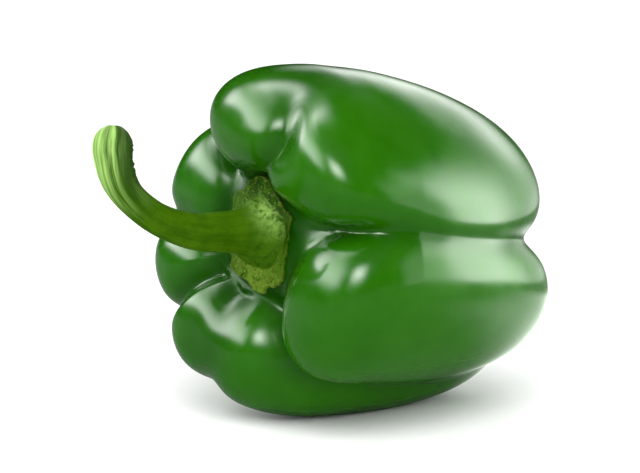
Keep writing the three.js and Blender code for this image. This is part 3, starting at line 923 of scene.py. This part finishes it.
def fadeEdges(light, fades):
    # the box glows less toward its edges, as a cloth front does
    lamp = light.data
    lamp.use_nodes = True
    tree = lamp.node_tree
    glow = next(n for n in tree.nodes if n.type == "EMISSION")
    spot = addNode(tree, "ShaderNodeNewGeometry").outputs["Position"]
    local = vectorCalc(tree, "SUBTRACT", spot, tuple(light.location))
    left, right, bottom, top = fades
    edges = (((1, 0, 0), lamp.size / 2, right, left), ((0, 1, 0), lamp.size_y / 2, bottom, top))
    strength = 1.0
    for axis, half, lowFade, highFade in edges:
        heading = light.rotation_quaternion @ Vector(axis)
        off = vectorCalc(tree, "DOT_PRODUCT", local, tuple(heading), out="Value")
        where = calc(tree, "DIVIDE", off, half)
        strength = times(tree, strength, rangeOf(tree, where, -1.0, -1.0 + 2 * lowFade))
        strength = times(tree, strength, rangeOf(tree, where, 1.0 - 2 * highFade, 1.0, 1.0, 0.0))
    tree.links.new(strength, glow.inputs["Strength"])


def addSoftBox(name, spot, heading, width, height, bright, glossy, fades):
    # heading points from the pepper to the box, so the box shines back along it
    lamp = bpy.data.lights.new(name, "AREA")
    lamp.shape = "RECTANGLE"
    lamp.size = width
    lamp.size_y = height
    lamp.energy = bright * math.pi * width * height
    if name in studio["tinted"]:
        lamp.color = studio["tint"]
    light = addObject(name, lamp)
    light.location = spot
    light.rotation_mode = "QUATERNION"
    light.rotation_quaternion = heading.to_track_quat("Z", "Y")
    light.visible_camera = False
    light.visible_diffuse = not glossy
    light.visible_glossy = glossy
    if glossy:
        fadeEdges(light, fades)


def makeStudio(calyxSpot):
    scene = bpy.context.scene
    right, levelBack = pictureAxes()
    height = math.radians(studio["elevation"])
    back = levelBack * math.cos(height) + Vector((0, 0, math.sin(height)))
    camera = addObject("photoCamera", bpy.data.cameras.new("photoCamera"))
    camera.location = calyxSpot + right * studio["aimRight"] + back * studio["distance"]
    camera.rotation_mode = "QUATERNION"
    camera.rotation_quaternion = (-back).to_track_quat("-Z", "Y")
    camera.data.sensor_width = 36
    camera.data.lens = studio["lens"]
    camera.data.clip_start = 0.02
    camera.data.clip_end = 30
    scene.camera = camera

    bpy.ops.mesh.primitive_plane_add(size=studio["floorSize"])
    floor = bpy.context.active_object
    floor.name = "studioFloor"
    material, tree, shader = newMaterial("paleFloor")
    rays = addNode(tree, "ShaderNodeLightPath")
    tone = mixColours(tree, rays.outputs["Is Glossy Ray"], studio["floorColour"], studio["floorInGloss"])
    tree.links.new(tone, shader.inputs["Base Color"])
    shader.inputs["Roughness"].default_value = 0.9
    shader.inputs["Specular IOR Level"].default_value = 0.1
    floor.data.materials.append(material)

    world = bpy.data.worlds.new("studioSky")
    scene.world = world
    world.use_nodes = True
    tree = world.node_tree
    tree.nodes.clear()
    rays = addNode(tree, "ShaderNodeLightPath")
    soft, dim, shown = (
        addNode(tree, "ShaderNodeBackground", {"Color": (1, 1, 1, 1), "Strength": studio[name]}).outputs[0]
        for name in ("skyDiffuse", "skyGloss", "skyShown")
    )
    glossy, seen = rays.outputs["Is Glossy Ray"], rays.outputs["Is Camera Ray"]
    mixed = addNode(tree, "ShaderNodeMixShader", {0: glossy, 1: soft, 2: dim}).outputs[0]
    mixed = addNode(tree, "ShaderNodeMixShader", {0: seen, 1: mixed, 2: shown}).outputs[0]
    addNode(tree, "ShaderNodeOutputWorld", {"Surface": mixed})

    centre, upward = Vector(studio["lightCentre"]), Vector((0, 0, 1))
    for name, sideways, rise, halfWide, halfHigh, distance, bright, glossy, *fades in softLights:
        sideways, rise = math.radians(sideways), math.radians(rise)
        level = right * math.sin(sideways) + levelBack * math.cos(sideways)
        heading = level * math.cos(rise) + upward * math.sin(rise)
        width, height = (2 * distance * math.tan(math.radians(half)) for half in (halfWide, halfHigh))
        addSoftBox(name, centre + heading * distance, heading, width, height, bright, glossy, fades)
    card = floorCard
    cardSpot = right * card["outward"] - levelBack * card["behind"] + upward * card["up"]
    sizes = card["width"], card["depth"], card["brightness"]
    addSoftBox("floorCard", cardSpot, -upward, *sizes, True, card["fades"])
    scene.view_settings.view_transform = "Standard"
    scene.view_settings.look = "None"
    print("studio ready")


makeStudio(Vector(place * mm))
